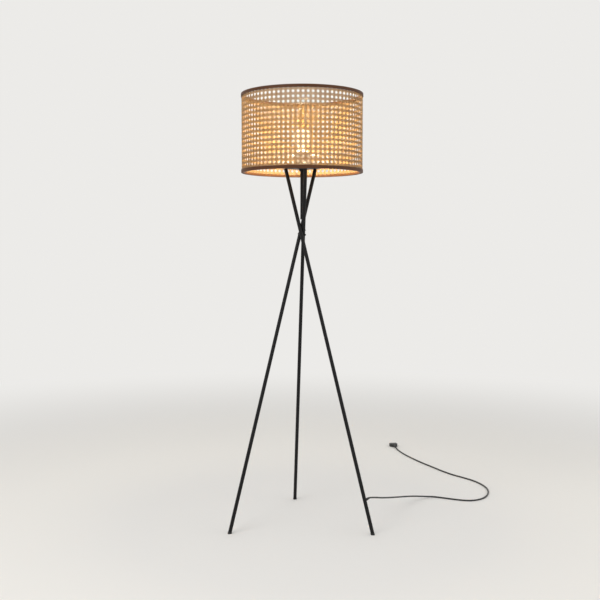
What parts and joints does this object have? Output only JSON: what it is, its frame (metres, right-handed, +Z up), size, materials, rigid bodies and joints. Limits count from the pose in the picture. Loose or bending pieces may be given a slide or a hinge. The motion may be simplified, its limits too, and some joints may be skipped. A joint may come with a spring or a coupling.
{
  "type": "floor lamp",
  "caption": "Floor lamp with an open cane drum shade on three crossed black steel tubes, with a switched lampholder and a trailing mains lead.",
  "frame": {"origin": "middle of the standing lamp's footprint at floor level, lead left out", "axes": "+Z up; -Y towards the viewer of the picture; +X to the viewer's right"},
  "size_m": [0.9496, 1.3603, 1.422],
  "materials": {
    "black_paint": "satin powder coat",
    "black_rubber": "matte",
    "black_plastic": "matte",
    "zinc_steel": "plain zinc plate",
    "brass": "plain",
    "nickel": "nickel plate",
    "white_plastic": "semi gloss ivory white",
    "porcelain": "plain",
    "frosted_glass": "frosted, warm white",
    "clear_glass": "clear",
    "cane": "natural cane, light varnish",
    "brown_trim": "dark brown stained cane strip",
    "core_insulation": "plain"
  },
  "bodies": {
    "stand": {"leg_left": "black_paint", "foot_left": "black_rubber", "leg_nipple_left": "zinc_steel", "wedge_washer_left": "zinc_steel", "leg_nut_left": "zinc_steel", "leg_right": "black_paint", "foot_right": "black_rubber", "leg_nipple_right": "zinc_steel", "wedge_washer_right": "zinc_steel", "leg_nut_right": "zinc_steel", "leg_back": "black_paint", "foot_back": "black_rubber", "leg_nipple_back": "zinc_steel", "wedge_washer_back": "zinc_steel", "leg_nut_back": "zinc_steel", "waist_bolt": "black_paint", "waist_nut": "black_paint", "waist_screw": "black_paint", "top_plate": "black_paint", "rod_collar": "black_paint", "centre_rod": "black_paint", "rod_plug": "zinc_steel", "rod_screw": "black_paint", "top_stud": "zinc_steel", "stud_nut": "zinc_steel", "holder_base": "white_plastic", "holder_body": "white_plastic", "holder_core": "porcelain", "screw_shell": "brass", "centre_contact": "brass", "terminal_live": "brass", "terminal_neutral": "brass", "shade_nut": "white_plastic", "switch_block": "black_plastic", "leg_cable": "black_plastic", "lead_live": "core_insulation", "lead_neutral": "core_insulation", "exit_relief": "black_rubber", "floor_cord": "black_plastic", "plug_body": "black_plastic", "plug_pin_a": "nickel", "plug_pin_b": "nickel"},
    "bulb": {"bulb_glass": "frosted_glass", "bulb_cap": "nickel", "bulb_glaze": "black_plastic", "bulb_button": "zinc_steel", "bulb_stem": "clear_glass"},
    "shade": {"cane_wall": "cane", "trim_bottom": "brown_trim", "trim_top": "brown_trim", "top_hoop": "zinc_steel", "bottom_hoop": "zinc_steel", "fitter_ring": "zinc_steel", "seam_strip": "cane", "fitter_arm_back": "zinc_steel", "fitter_arm_left": "zinc_steel", "fitter_arm_right": "zinc_steel"},
    "switch_knob": {"switch_spindle": "nickel", "switch_knob": "black_plastic"}
  },
  "joints": [
    {"name": "bulb_out", "type": "slide", "parent": "stand", "child": "bulb", "axis": [0, 0, 1], "range_m": [0, 0.04]},
    {"name": "shade_turn", "type": "hinge", "parent": "stand", "child": "shade", "pos_m": [0.00349, -0.03601, 1.2209], "axis": [0, 0, 1], "continuous": true},
    {"name": "switch_turn", "type": "hinge", "parent": "stand", "child": "switch_knob", "pos_m": [0.0257, -0.04366, 1.1933], "axis": [0.9455, -0.3256, 0], "continuous": true}
  ]
}
